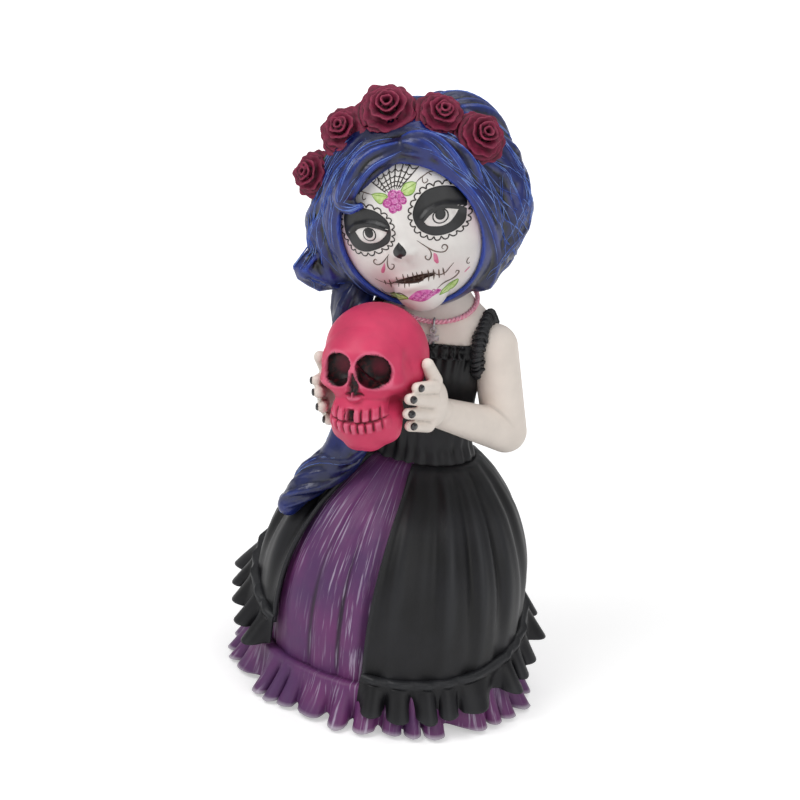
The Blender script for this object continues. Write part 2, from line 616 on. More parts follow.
def strands(name, lines, sides=8, material=None):
    """Tubes along lines of (point, radius), in millimetres."""
    curve = bpy.data.curves.new(name, "CURVE")
    curve.dimensions = "3D"
    for line in lines:
        s = curve.splines.new("POLY")
        s.points.add(len(line) - 1)
        for q, (p, r) in zip(s.points, line):
            q.co = (p.x * MM, p.y * MM, p.z * MM, 1)
            q.radius = r
    obj = placed(name, curve)
    tree = bpy.data.node_groups.get("hair_strands") or strand_tree()
    return grown(obj, tree, Sides=sides, Unit=MM, Material=material)


# --- what a user may change -----------------------------------------------------------------------

class CatrinaSizes(bpy.types.PropertyGroup):
    fold_depth: bpy.props.FloatProperty(
        name="Fold depth", description="How deep the folds of the skirt are", default=0.0011, unit="LENGTH")
    fold_count: bpy.props.IntProperty(
        name="Folds", description="Folds round the whole skirt", default=19)
    flute_depth: bpy.props.FloatProperty(
        name="Flute depth", description="How far the ruffles wave in and out", default=0.0023, unit="LENGTH")
    flute_count: bpy.props.IntProperty(
        name="Flutes", description="Waves round each ruffle", default=33)
    petal_thickness: bpy.props.FloatProperty(
        name="Petal thickness", description="Thickness of a rose petal", default=0.0006, unit="LENGTH")
    strand_radius: bpy.props.FloatProperty(
        name="Strand radius", description="Radius of a strand of hair at its middle", default=0.0016,
        unit="LENGTH")
    line_width: bpy.props.FloatProperty(
        name="Line width", description="Width of a painted line on the face", default=0.00034,
        unit="LENGTH")


def colour_property(name, about, hexed):
    return bpy.props.FloatVectorProperty(name=name, description=about, default=shade(hexed),
                                         subtype="COLOR_GAMMA", min=0, max=1)


class CatrinaColours(bpy.types.PropertyGroup):
    hair: colour_property("Hair", "Main colour of the hair", "0C1F6C")
    rose: colour_property("Roses", "Main colour of the petals", "842243")
    skull: colour_property("Skull", "Main colour of the held skull", "D63A63")
    skin: colour_property("Skin", "Colour of arms, neck and chest", "EDE2D8")
    face: colour_property("Face", "Colour of the painted face", "EBE7E3")
    dress: colour_property("Dress", "Colour of bodice, overskirt and ruffle", "0C0C0E")
    panel: colour_property("Panel", "Colour of the panel and the hem ruffle", "52305E")
    cord: colour_property("Cord", "Colour of the neck cord", "E58AA4")


def settings():
    scene = bpy.context.scene
    return scene.catrina_sizes, scene.catrina_colours


# --- pieces ---------------------------------------------------------------------------------------

WAIST = 74              # height of the waist, in millimetres
OPEN_FROM, OPEN_TO = 22, 331   # the overskirt covers the bell between these turns, in degrees
COVER = OPEN_TO - OPEN_FROM
STRAP = 8.4             # radius of a strap's loop over the shoulder, in millimetres


def fold(turn, sizes, seed=0.0):
    """Soft folds round the bell, from 1 at a crest to -1 in a crease, unevenly spaced."""
    a = math.radians(turn) * sizes.fold_count
    a += 1.1 * math.sin(math.radians(turn) * 5 + seed) + 0.8 * math.sin(math.radians(turn) * 2.3 + 1 + seed)
    return (math.cos(a) + 0.35 * math.cos(2.1 * a + seed)) / 1.35


def waist_below(p, out):
    """The point of the waist that a point of a skirt's top is drawn in to."""
    return torso_point(math.degrees(math.atan2(p.x - 3, 5 - p.y)) - 15, WAIST, out)


def make_overskirt(sizes, colours):
    depth = sizes.fold_depth / MM
    rows = []
    for i in range(64):
        t = i / 63
        row = []
        for j in range(360):
            turn = OPEN_FROM + COVER * j / 359
            share = seam_share(turn) * (1 - t) + 0.998 * t
            rise = math.sin(math.pi * min(1, (1 - t) * 1.25)) * 0.9 + 0.35 * t * (1 - t) * 4
            out = depth * (fold(turn + 6 * t, sizes) * (0.35 + 0.65 * rise) - 0.25)
            edge = min(j, 359 - j) / 359 * COVER
            out = out * min(1, edge / 7) + 0.7 * math.exp(-(edge / 2.2)**2) - 0.1
            row.append(on_skirt(turn, share, out))
        rows.append(row)
    for share, drop in ((0.25, 0.5), (0.6, 0.75), (1.0, 0.8)):
        rows.append([p.lerp(waist_below(p, 0.1), share) + Vector((0, 0, drop)) for p in rows[63]])
    obj = sheet_of("overskirt_folds", rows, False, 1.3)
    relief(obj, 0.7, 40)
    settle(obj, black_finish(colours), "black_cloth", "overskirt")


def make_underskirt(sizes, colours):
    depth = sizes.fold_depth / MM
    rows = []
    for i in range(56):
        share = 0.11 + 0.87 * i / 55
        swell = math.sin(math.pi * min(1, share * 1.02))
        rows.append([on_skirt(j, share, (-2.9 if 26 < j < 327 else -1.75)
                              + 0.8 * depth * (fold(j + 40 + 5 * share, sizes, 2.0) - 0.6) * swell)
                     for j in range(360)])
    for share, drop in ((0.4, 0.6), (1.0, 0.9)):
        rows.append([p.lerp(waist_below(p, -0.2), share)
                     + Vector((0, 0, drop if not 24 < j < 329 else -0.8)) for j, p in enumerate(rows[55])])
    obj = sheet_of("underskirt_panel", rows, True, 1.0)
    relief(obj, 0.6, 40)
    attribute(obj, "rim", np.zeros(len(obj.data.vertices)))
    settle(obj, bpy.data.materials["purple_panel_paint"], "purple_cloth", "underskirt")


def flutes(turn, count, seed):
    """Waves of a ruffle: how far out, how far along, and how large each wave is."""
    a = math.radians(turn) * count + 1.5 * math.sin(math.radians(turn) * 7 + seed) \
        + 1.0 * math.sin(math.radians(turn) * 11 + 2 * seed)
    crest = math.sin(a) * (1.08 - 0.14 * math.cos(2 * a)) + 0.16 * math.sin(2.37 * a + seed)
    swing = 0.75 * math.sin(2 * a) + 0.25 * math.cos(a)
    return crest, swing, 1 + 0.34 * math.sin(math.radians(turn) * 9 + 3 * seed)


def make_hem_ruffle(sizes, colours):
    depth = sizes.flute_depth / MM
    rows = []
    for i in range(21):
        t = max(i - 1, 0) / 19
        row = []
        for j in range(1080):
            turn = j / 3
            wave, roll, size = flutes(turn, sizes.flute_count, 1.7)
            grow = t**1.15
            z = 12.6 - 11.0 * t - 0.6 * grow * wave * size
            out = -2.3 if i == 0 else 0.1 + 4.6 * t**1.4 + depth * wave * size * grow
            p = on_skirt(turn - 1.15 * roll * grow, max(z, 0.75) / WAIST, out)
            p.z = max(z, 0.75)
            row.append(p)
        rows.append(row)
    obj = sheet_of("hem_ruffle_waves", rows, True, 0.9)
    relief(obj, 0.9, 22)
    co, _ = coordinates(obj)
    attribute(obj, "rim", np.clip((2.5 - co[:, 2]) / 1.2, 0, 1) * 0.85)
    settle(obj, bpy.data.materials["purple_panel_paint"], "purple_cloth", "hem_ruffle")


def make_overskirt_ruffle(sizes, colours):
    depth = sizes.flute_depth / MM
    rows = []
    for i in range(24):
        t = i / 23
        row = []
        for j in range(960):
            turn = OPEN_FROM + COVER * j / 959
            seam = on_skirt(turn, seam_share(turn))
            wave, roll, size = flutes(turn, sizes.flute_count - 2, 0.4)
            if i == 0:
                drop, out = 1.4, -1.6
            elif t < 0.2:
                drop = 2.0 - 9 * t
                out = 0.7 + 0.6 * wave * (1 - t / 0.2)
            else:
                s = (t - 0.2) / 0.8
                drop = 0.2 - 8.0 * s - 0.8 * s * wave * size
                out = 0.5 + 3.7 * s**1.1 + depth * wave * size * s**0.9
            share = max((seam.z + drop) - 0.4, 0.5) / 73.6
            end = min(j, 959 - j) / 959 * COVER
            row.append(on_skirt(turn - 1.5 * roll * max(0, t - 0.2), share,
                                out * min(1, 0.35 + end / 3)))
        rows.append(row)
    obj = sheet_of("overskirt_ruffle_waves", rows, False, 1.0)
    relief(obj, 0.9, 22)
    settle(obj, bpy.data.materials["black_dress_paint"], "black_cloth", "overskirt_ruffle")


def torso_point(turn, z, out):
    """A point on the bodice, at a height and a turn in degrees, moved out."""
    k = max(i for i in range(len(BODICE) - 1) if BODICE[i][0] <= z or i == 0)
    a, b = BODICE[k], BODICE[k + 1]
    t = (z - a[0]) / (b[0] - a[0])
    t = t * t * (3 - 2 * t)
    hw, hd, fwd = (a[i] + (b[i] - a[i]) * t for i in (1, 2, 3))
    ang = math.radians(turn)
    reach = 1 / math.hypot(math.sin(ang) / hw, math.cos(ang) / hd) + out
    p = Vector((reach * math.sin(ang), -reach * math.cos(ang) - fwd, 0))
    p = TORSO_TURN @ p
    return Vector((POST.x + p.x, POST.y + p.y, z))


def make_bodice(sizes, colours):
    rows = []
    for i in range(60):
        z = 73.6 + 38.2 * i / 59
        row = []
        for j in range(420):
            turn = 360 * j / 420
            a = math.radians(turn)
            near_top = max(0, (z - 100) / 12)
            near_waist = max(0, 1 - abs(z - 78) / 12)
            gather = 0.32 * near_top * math.sin(a * 34 + 1.2 * math.sin(a * 7)) \
                + 0.35 * near_waist * math.sin(a * 22 + math.sin(a * 5) + z * 0.1)
            drape = 0.28 * math.sin(a * 9 + z * 0.35 + math.sin(a * 4)) * math.sin(math.pi * i / 59)
            row.append(torso_point(turn, z, gather + drape + 0.1))
        rows.append(row)
    rows.append([torso_point(360 * j / 420, 111.9, -2.5) for j in range(420)])
    body = sheet_of("bodice_body", rows, True, 1.0)
    rows = []
    for i in range(9):
        t = i / 8
        row = []
        for j in range(900):
            turn = 360 * j / 900
            wave, roll, size = flutes(turn, 30, 2.2)
            curl = abs(2 * t - 1)
            out = 0.9 + curl * (0.35 + 0.75 * wave * size)
            z = min(108.4 + 4.4 * t + 0.35 * curl * wave, 111.99)
            row.append(torso_point(turn - 1.2 * roll * curl, z, out)
                       + Vector((0, 0, max(0, t - 0.8) * 1.2)))
        rows.append(row)
    frill = sheet_of("neckline_frill_waves", rows, True, 0.7)
    relief(frill, 0.5, 12)
    ink = bpy.data.materials["black_dress_paint"]
    settle(frill, ink, "black_cloth", "neckline_frill")
    relief(body, 0.5, 24)
    settle(body, ink, "black_cloth", "bodice")


def make_straps(sizes, colours):
    """Ruched straps: short gathered loops set one after another along each strap."""
    tree, given, out = new_tree("ruched_strap", (
        ("Loops", "NodeSocketInt"), ("Radius", "NodeSocketFloat"), ("Seed", "NodeSocketInt"),
        ("Material", "NodeSocketMaterial")))
    ring = wired(tree, "GeometryNodeCurvePrimitiveCircle", Radius=given.outputs["Radius"],
                 Resolution=96)
    along = wired(tree, "GeometryNodeCurveToPoints", Curve=ring.outputs["Curve"],
                  Count=given.outputs["Loops"])
    chance = wired(tree, "FunctionNodeRandomValue", Seed=given.outputs["Seed"])
    for end, value in zip(RANDOM_RANGE, (0.82, 1.12)):
        chance.inputs[end].default_value = value
    place = wired(tree, "GeometryNodeInstanceOnPoints", Points=along.outputs["Points"],
                  Instance=given.outputs["Geometry"], Rotation=along.outputs["Rotation"],
                  Scale=chance.outputs[RANDOM_FLOAT])
    end_tree(tree, place.outputs["Instances"], given, out)
    ink = bpy.data.materials["black_dress_paint"]
    for name, node in (("left_strap_ruching", "left_strap"), ("right_strap_ruching", "right_strap")):
        side = 1 if node == "left_strap" else -1
        shoulder = Vector((21.9, 9.0, 111.0)) if side > 0 else Vector((-15.4, -1.0, 111.0))
        centre = shoulder - side * 3.0 * (TORSO_TURN @ Vector((1, 0, 0)))
        points, faces = [], []
        for i in range(10):
            for j in range(18):
                a, b = 2 * math.pi * i / 10, 2 * math.pi * j / 18
                r = 1.75 + 0.35 * math.cos(3 * b)
                points.append(((r * 0.9 + 0.55 * math.cos(a)) * math.cos(b),
                               (r + 0.55 * math.cos(a)) * math.sin(b),
                               0.62 * math.sin(a) + 0.45 * math.sin(2 * b)))
                faces.append((i * 18 + j, i * 18 + (j + 1) % 18, (i + 1) % 10 * 18 + (j + 1) % 18,
                              (i + 1) % 10 * 18 + j))
        loop = new_object(name, points, faces)
        loop = grown(loop, tree, Loops=36, Radius=STRAP * MM, Seed=5 + side, Material=ink)
        core = new_object(name + "_core", *ring_tube(STRAP, 1.55, 72, 14))
        strap = joined(name, [loop, core])
        turn = TORSO_TURN @ Matrix.Rotation(math.radians(90), 3, "Y")
        strap.data.transform(Matrix.Translation(centre * MM) @ turn.to_4x4())
        outward(strap)
        relief(strap, 0.5, 10)
        settle(strap, ink, "black_cloth", node)


def ring_tube(radius, r, around, across):
    """The points and faces of a ring of radius, as thick as r all round."""
    points, faces = [], []
    for i in range(around):
        a = 2 * math.pi * i / around
        for j in range(across):
            b = 2 * math.pi * j / across
            reach = radius + r * math.cos(b)
            points.append((reach * math.cos(a), reach * math.sin(a), r * math.sin(b)))
            faces.append((i * across + j, (i + 1) % around * across + j,
                          (i + 1) % around * across + (j + 1) % across, i * across + (j + 1) % across))
    return points, faces


def make_flesh(sizes, colours):
    skin = flesh_finish("skin_paint", tuple(colours.skin), blushing=False)
    for name, nodes, grain, rounds in (
            ("shoulders_skin", ("shoulders",), 0.55, 4),
            ("left_arm_skin", ("left_arm", "left_hand"), 0.34, 7),
            ("right_arm_skin", ("right_arm", "right_hand"), 0.34, 7)):
        obj = cast(name, nodes, grain, rounds)
        relief(obj, 0.45, 22)
        settle(obj, skin, "skin", *nodes)
    nails = []
    for side, arm in ((1, "left_arm_skin"), (-1, "right_arm_skin")):
        tree = surface(bpy.data.objects[arm])
        for knuckle, tip in FINGERS:
            k, t = (SKULL_CENTRE + SKULL_TURN @ Vector((side * x, y, z)) for x, y, z in (knuckle, tip))
            along = (t - k).normalized()
            out = (SKULL_TURN @ Vector((side * 0.75, -0.62, 0.15))).normalized()
            out = (out - along * out.dot(along)).normalized()
            start = t - along * 0.1 + out * 8
            hit, normal, _, _ = tree.ray_cast(start, -out)
            if hit is None:
                hit, normal = t + out * 1.8, out
            across = along.cross(normal).normalized()
            up = normal.cross(across)
            points, faces = [hit + normal * 0.42], []
            for r, h in ((0.45, .38), (0.8, .2), (1.0, -.25)):
                for j in range(18):
                    a = 2 * math.pi * j / 18
                    points.append(hit + across * 1.15 * r * math.cos(a)
                                  + up * 1.45 * r * math.sin(a) + normal * h)
            for j in range(18):
                faces.append((0, 1 + j, 1 + (j + 1) % 18))
                for i in range(2):
                    a, b = 1 + i * 18 + j, 1 + i * 18 + (j + 1) % 18
                    faces.append((a, a + 18, b + 18, b))
            faces.append([37 + j for j in range(17, -1, -1)])
            nails.append(new_object("nail", points, faces))
    polish = joined("nail_polish", nails)
    outward(polish)
    shine = plain_finish("black_polish", shade("0C0C0E"), shade("1B1B1F"), 900, 0.22, coat=0.4)
    settle(polish, shine, "skin")


def surface(obj):
    """The piece as something a line can be dropped on, in millimetres."""
    co, _ = coordinates(obj)
    return BVHTree.FromPolygons([Vector(c) for c in co], [tuple(p.vertices) for p in obj.data.polygons])


def make_skull(sizes, colours):
    obj = cast("pink_skull", ("skull",), 0.4, 5)
    co, no = coordinates(obj)
    p = local(co, SKULL_CENTRE, SKULL_TURN)
    side = np.abs(p[:, 0])
    q = np.stack([side, p[:, 1], p[:, 2]], 1)
    lift = bump(q, (5.6, -16, 6.8), (4.2, 4, 1.6), 0.9)
    lift += bump(q, (9.4, -11.5, -2.6), (3.4, 5, 1.8), 1.3)
    lift -= bump(q, (9.8, -9.5, -8.6), (3.0, 5, 3.0), 1.7)
    lift -= bump(q, (13.6, -6.0, 3.0), (2.2, 4.5, 5.0), 1.0)
    lift += bump(q, (11.6, -9.6, 5.0), (1.0, 2.0, 6.0), 0.5)
    lift += bump(q, (0, -17.5, 1.0), (1.3, 4, 2.6), 0.9)
    lift += bump(q, (0, -15.5, -19.5), (5.0, 4, 3.0), 0.7)
    front = np.clip((-p[:, 1] - 6) / 4, 0, 1)
    arch = np.clip(1 - (side / 9.4)**4, 0, 1) * front
    lift += arch * 0.9 * np.exp(-((p[:, 2] + 12.4) / 4.2)**2)
    bend = -12.5 + 0.035 * side**2 * 0.5
    upper = np.clip((p[:, 2] - bend) / 0.3, 0, 1) * np.clip((bend + 3.9 - p[:, 2]) / 0.8, 0, 1)
    lower = np.clip((bend - p[:, 2]) / 0.3, 0, 1) * np.clip((p[:, 2] - bend + 3.6) / 0.8, 0, 1)
    slots = []
    for rows, pitch, shift in ((upper, 2.35, 0.2), (lower, 2.05, 1.0)):
        tooth = (p[:, 0] + shift) / pitch
        slots.append(np.abs(tooth - np.round(tooth)) * pitch)
        lift += rows * arch * (0.35 - 1.15 * np.exp(-(slots[-1] / 0.34)**2))
    lift -= arch * 1.1 * np.exp(-((p[:, 2] - bend) / 0.34)**2)
    gap = np.exp(-(((p[:, 0] + 0.9) / 1.0)**4)) * upper * front
    lift -= gap * 1.9
    lift += bump(q, (8.6, -8.5, -18.6), (3.2, 4.0, 3.2), 1.5) \
        + bump(q, (3.5, -11, -21.5), (3.5, 4, 2.5), 0.8)
    facing = np.clip((-p[:, 1] - 9) / 2, 0, 1)
    orbit = ((side - 5.5 - 0.10 * (2.0 - p[:, 2])) / 4.75)**2 \
        + ((p[:, 2] - 2.1 + 0.16 * (side - 5.5)) / 4.25)**2
    orbit = np.clip((1 - orbit) / 0.16, 0, 1) * facing
    reach = 0.5 + (0.9 - p[:, 2]) * 0.40
    pear = np.clip((reach - side) / 0.35, 0, 1) * np.clip((p[:, 2] + 5.4) / 0.5, 0, 1) * facing
    pear *= 1 - np.exp(-(side / 0.42)**2) * np.clip((-3.0 - p[:, 2]) / 0.8, 0, 1)
    lift -= 1.5 * orbit + 1.5 * pear
    ditch = arch * np.maximum(0.9 * np.exp(-((p[:, 2] - bend) / 0.2)**2), np.exp(-(np.minimum(
        slots[0] + 9 * (1 - upper), slots[1] + 9 * (1 - lower)) / 0.2)**2))
    co = co + no * lift[:, None]
    put(obj, co)
    p = local(co, SKULL_CENTRE, SKULL_TURN)
    q = np.stack([np.abs(p[:, 0]), p[:, 1], p[:, 2]], 1)
    inside = np.linalg.norm(q - np.array((5.26, -15.0, 1.65)), axis=1)
    hollow = np.clip((4.95 - inside) / 0.35, 0, 1)
    hollow = np.maximum.reduce([hollow, orbit, pear, np.clip(gap * 1.2, 0, 1), np.clip(ditch, 0, 1) * 0.9])
    attribute(obj, "hollow", hollow)
    relief(obj, 0.42, 12)
    settle(obj, bone_finish(colours), "pink_bone", "skull")


def make_head(sizes, colours):
    obj = cast("head_skin", ("head",), 0.42, 8)
    co, no = coordinates(obj)
    p = local(co, HEAD_CENTRE, HEAD_TURN)
    front = np.clip((-p[:, 1] - 6) / 6, 0, 1)
    flat = p * np.array((1, 0, 1))
    lift = bump(flat, (-1.6, 0, -4.6), (2.3, 1, 2.3), 2.5) + bump(flat, (-1.0, 0, 1.0), (1.9, 1, 4.4), 1.0)
    lift += bump(flat, (-3.8, 0, -5.9), (1.3, 1, 1.2), 0.7) + bump(flat, (0.9, 0, -6.2), (1.3, 1, 1.2), 0.9)
    lift -= bump(flat, (-1.7, 0, -8.6), (1.1, 1, 1.8), 0.35)
    for name, centre, wide in (("right", (-9.3, 0, 1.6), (5.6, 1, 3.6)),
                               ("left", (11.3, 0, 0.9), (5.8, 1, 3.6))):
        lift -= bump(flat, (centre[0], 0, centre[2] + 1.0), (wide[0] * 1.25, 1, wide[2] * 1.7), 1.0)
        lift += bump(flat, centre, (wide[0] * 0.8, 1, wide[2] * 0.75), 1.15)
        lid = line_distance(p, PAINT["lid_" + name])
        lift += 0.75 * np.exp(-(lid / 0.75)**2)
    lift += bump(flat, (-2.2, 0, -12.9), (5.0, 1, 1.15), 0.8) \
        + bump(flat, (-1.8, 0, -16.2), (4.2, 1, 1.25), 0.95)
    lift -= 0.9 * np.exp(-(line_distance(p, PAINT["mouth_line"][3:8]) / 0.5)**2)
    lift -= bump(flat, (-1.8, 0, -18.2), (3.4, 1, 0.9), 0.35)
    lift += bump(flat, (11.5, 0, -8.5), (4.5, 1, 4), 0.5) + bump(flat, (-11.0, 0, -7.5), (4.5, 1, 4), 0.5)
    co = co + no * (lift * front)[:, None]
    put(obj, co)
    p = local(co, HEAD_CENTRE, HEAD_TURN)
    blush = bump(p, (21.5, -9, -2), (4.5, 9, 10), 1.0) + bump(p, (-20.0, -13, -1), (4.0, 7, 9), 0.9) \
        + bump(p, (-10.5, -18, -14), (5, 6, 5), 0.5) + bump(p, (9, -18, -17), (5, 6, 3.5), 0.22)
    attribute(obj, "blush", np.clip(blush, 0, 1))
    relief(obj, 0.5, 26)
    settle(obj, flesh_finish("face_paint", tuple(colours.face), grey="CFC6C2"), "face", "head")


class Brush:
    """Lays thin coats of paint on the front of the head."""

    def __init__(self, head):
        self.tree = surface(head)
        self.coats = {}

    def drop(self, x, z, lift):
        start = head_point(x, -42, z)
        hit, normal, _, _ = self.tree.ray_cast(start, HEAD_TURN @ Vector((0, 1, 0)), 42)
        if hit is None:
            hit, normal, _, _ = self.tree.find_nearest(head_point(x, -18, z))
        return hit + normal * lift

    def add(self, coat, points, faces):
        have, sides = self.coats.setdefault(coat, ([], []))
        base = len(have)
        have.extend(points)
        sides.extend([tuple(base + i for i in f) for f in faces])

    def line(self, coat, route, width, lift=0.13, taper=True, closed=False):
        route = [(x, 0, z) for x, z in route] + ([(route[0][0], 0, route[0][1])] if closed else [])
        length = sum((Vector(b) - Vector(a)).length for a, b in zip(route, route[1:]))
        n = max(4, int(length / 0.35))
        path = smooth_line(route, n) if len(route) > 2 else [
            Vector(route[0]).lerp(Vector(route[1]), i / (n - 1)) for i in range(n)]
        points, faces = [], []
        for i, q in enumerate(path):
            d = (path[min(i + 1, n - 1)] - path[max(i - 1, 0)]).normalized()
            t = i / (n - 1)
            w = width / 2 * (min(1, 0.35 + 3 * min(t, 1 - t)) if taper else 1)
            across = Vector((-d.z, 0, d.x)) * w
            for k in (-1, 0, 1):
                s = q + across * k
                points.append(self.drop(s.x, s.z, lift - 0.05 * abs(k)))
            if i:
                b = 3 * i
                faces += [(b - 3, b, b + 1, b - 2), (b - 2, b + 1, b + 2, b - 1)]
        self.add(coat, points, faces)

    def patch(self, coat, outline, lift, rings=9):
        n = 56
        loop = smooth_line([(x, 0, z) for x, z in outline] + [(outline[0][0], 0, outline[0][1])], n + 1)[:-1]
        middle = sum(loop, Vector()) / n
        points, faces = [], []
        for r in range(rings):
            s = 1 - r / rings
            for q in loop:
                e = middle + (q - middle) * s
                points.append(self.drop(e.x, e.z, lift if r else lift * 0.25))
        points.append(self.drop(middle.x, middle.z, lift))
        for r in range(rings - 1):
            for j in range(n):
                k = (j + 1) % n
                faces.append((r * n + j, r * n + k, (r + 1) * n + k, (r + 1) * n + j))
        for j in range(n):
            faces.append(((rings - 1) * n + j, (rings - 1) * n + (j + 1) % n, rings * n))
        self.add(coat, points, faces)

    def finish(self, finishes):
        view = HEAD_TURN @ Vector((0, -1, 0))
        for coat, (points, faces) in self.coats.items():
            obj = new_object(coat, points, faces)
            turned = [p.index for p in obj.data.polygons if p.normal.dot(view) < 0]
            bm = bmesh.new()
            bm.from_mesh(obj.data)
            bm.faces.ensure_lookup_table()
            bmesh.ops.reverse_faces(bm, faces=[bm.faces[i] for i in turned])
            bm.to_mesh(obj.data)
            bm.free()
            settle(obj, finishes[coat], "face")


def oval(x, z, wide, high, tilt=0.0, count=20):
    c, s = math.cos(tilt), math.sin(tilt)
    out = []
    for i in range(count):
        a = 2 * math.pi * i / count
        u, v = wide * math.cos(a), high * math.sin(a)
        out.append((x + u * c - v * s, z + u * s + v * c))
    return out


# name, two shades, patches to the metre, roughness, gloss coat, and the coats painted with it
FACE_PAINTS = (
    ("black_face_paint", "0E0E0F", "1C1C1E", 260, 0.42, 0.0,
     ("eye_mask", "eye_iris", "eye_pupil", "lid_shadow", "face_ink_fill")),
    ("ink_line_paint", "1A1715", "332B26", 700, 0.55, 0.0, ("face_ink",)),
    ("brown_line_paint", "4A3B34", "6E5B50", 700, 0.6, 0.0, ("mouth_paint_line", "brown_ink")),
    ("eye_white_paint", "EDEAE6", "DAD4D2", 400, 0.3, 0.3, ("eye_white", "eye_ring")),
    ("leaf_green_paint", "A9C96B", "CFE0A0", 900, 0.55, 0.0, ("leaf_paint",)),
    ("leaf_edge_paint", "5E8A2C", "7FA53F", 700, 0.55, 0.0, ("leaf_edge",)),
    ("flower_magenta_paint", "C2489A", "D985BF", 900, 0.55, 0.0, ("flower_paint",)),
    ("flower_edge_paint", "8E2470", "A3307F", 700, 0.55, 0.0, ("flower_edge",)),
    ("flower_glint_paint", "E9B5DA", "DD9CCB", 700, 0.55, 0.0, ("flower_glint",)),
    ("drop_pink_paint", "D3698F", "E08FAC", 700, 0.5, 0.0, ("drop_paint",)),
    ("mouth_brown_paint", "2A1712", "43261D", 500, 0.4, 0.0, ("mouth_paint",)))


def make_face_paint(sizes, colours):
    brush = Brush(bpy.data.objects["head_skin"])
    thin = sizes.line_width / MM
    ink = "face_ink"
    for side in ("right", "left"):
        mask = PAINT["mask_" + side]
        brush.patch("eye_mask", mask, 0.12, 30)
        brush.patch("eye_white", PAINT["white_" + side], 0.18, 14)
        loop = smooth_line([(x, 0, z) for x, z in mask] + [(mask[0][0], 0, mask[0][1])], 241)
        middle = sum(loop, Vector()) / 241
        count = 24
        for k in range(count):
            arc = []
            for i in range(9):
                s = i / 8
                q = loop[int((k + s) / count * 240)]
                out = (q - middle).normalized()
                e = q + out * (0.25 + 1.05 * math.sin(math.pi * s)**0.6)
                arc.append((e.x, e.z))
            brush.line(ink, arc, thin * 1.05, taper=False)
    for x, z, r in ((-9.3, 1.75, 2.35), (11.35, 0.75, 2.5)):
        brush.patch("eye_iris", oval(x, z + 0.1, r, r * 0.95), 0.22, 6)
        brush.patch("eye_ring", oval(x, z + 0.1, r * 0.82, r * 0.78), 0.26, 6)
        brush.patch("eye_pupil", oval(x + 0.1, z + 0.6, r * 0.64, r * 0.68), 0.30, 6)
    for lid in ("lid_right", "lid_left"):
        brush.line("lid_shadow", [(x, z - 0.45) for x, z in PAINT[lid]], 0.95, 0.34)
    brush.patch("face_ink_fill", PAINT["nose"], 0.1)
    brush.patch("mouth_paint", PAINT["mouth"], 0.1)
    brush.line("mouth_paint_line", PAINT["mouth_line"], thin, 0.14)
    for a, b in zip(STITCH_TOP, STITCH_FOOT):
        brush.line("mouth_paint_line", (a, b), thin * 1.2)
    for name in ("chin_line_left", "chin_line_right", "scroll_left", "scroll_left_end", "scroll_right",
                 "scroll_right_end"):
        brush.line("brown_ink", PAINT[name], thin)
    for name in ("tendril_right", "tendril_right_curl", "tendril_left", "tendril_left_curl",
                 "tendril_left_tick", "tendril_right_tick", "cheek_curl"):
        brush.line("brown_ink", PAINT[name], thin * 0.75)
    for a, b in zip(WEB_FROM, WEB_TO):
        brush.line(ink, (a, ((a[0] + b[0]) / 2, (a[1] + b[1]) / 2), b), thin * 0.95)
    for share in (0.14, 0.27, 0.42, 0.60, 0.82):
        for (a, b), (c, d) in zip(list(zip(WEB_FROM, WEB_TO)), list(zip(WEB_FROM, WEB_TO))[1:]):
            p = Vector(a).lerp(Vector(b), share)
            q = Vector(c).lerp(Vector(d), share)
            sag = (Vector((1.0, 9.5)) - (p + q) / 2).normalized() * (q - p).length * 0.3
            brush.line(ink, (p, (p + q) / 2 + sag, q), thin * 0.75, taper=False)
    for name in ("brow_leaf_right", "brow_leaf_left", "chin_leaf_left", "chin_leaf_right"):
        shape = PAINT[name]
        brush.patch("leaf_paint", shape, 0.09)
        brush.line("leaf_edge", shape, thin * 0.8, closed=True)
        brush.line("leaf_edge", (shape[0], shape[len(shape) // 2]), thin * 0.6)
    for i, (x, z, r) in enumerate(BROW_LOBES):
        brush.patch("flower_paint", oval(x, z, r, r * 0.88, i), 0.10 + 0.012 * i, 5)
        for k in range(5):
            a = i * 1.3 + k * 1.25
            for coat, wide, high, start, sweep, width in (
                    ("flower_edge", 0.75, 0.66, a, 0.9, 0.55), ("flower_glint", 0.45, 0.4, a + 2, 1, 0.5)):
                brush.line(coat, [(x + r * wide * math.cos(start + s * sweep),
                                   z + r * high * math.sin(start + s * sweep))
                                  for s in (0, .5, 1)], thin * width, 0.26)
    brush.patch("flower_paint", PAINT["chin_flower"], 0.10)
    for k in range(9):
        x = -4.2 + 0.85 * k
        z = -19.8 + 0.5 * math.sin(k * 2.1)
        brush.line("flower_edge", ((x, z), (x + 0.5, z + 0.6), (x + 1.0, z + 0.1)), thin * 0.6, 0.2)
        brush.line("flower_glint", ((x + 0.2, z - 0.5), (x + 0.6, z - 0.1), (x + 1.1, z - 0.4)),
                   thin * 0.5, 0.2)
    for name in ("drop_left", "drop_right"):
        brush.patch("drop_paint", PAINT[name], 0.1, 4)
    brush.line("drop_paint", PAINT["cheek_dash"], thin)
    finishes = {}
    for name, first, second, scale, rough, coat, coats in FACE_PAINTS:
        paint = plain_finish(name, shade(first), shade(second), scale, rough, coat=coat)
        finishes.update(dict.fromkeys(coats, paint))
    brush.finish(finishes)


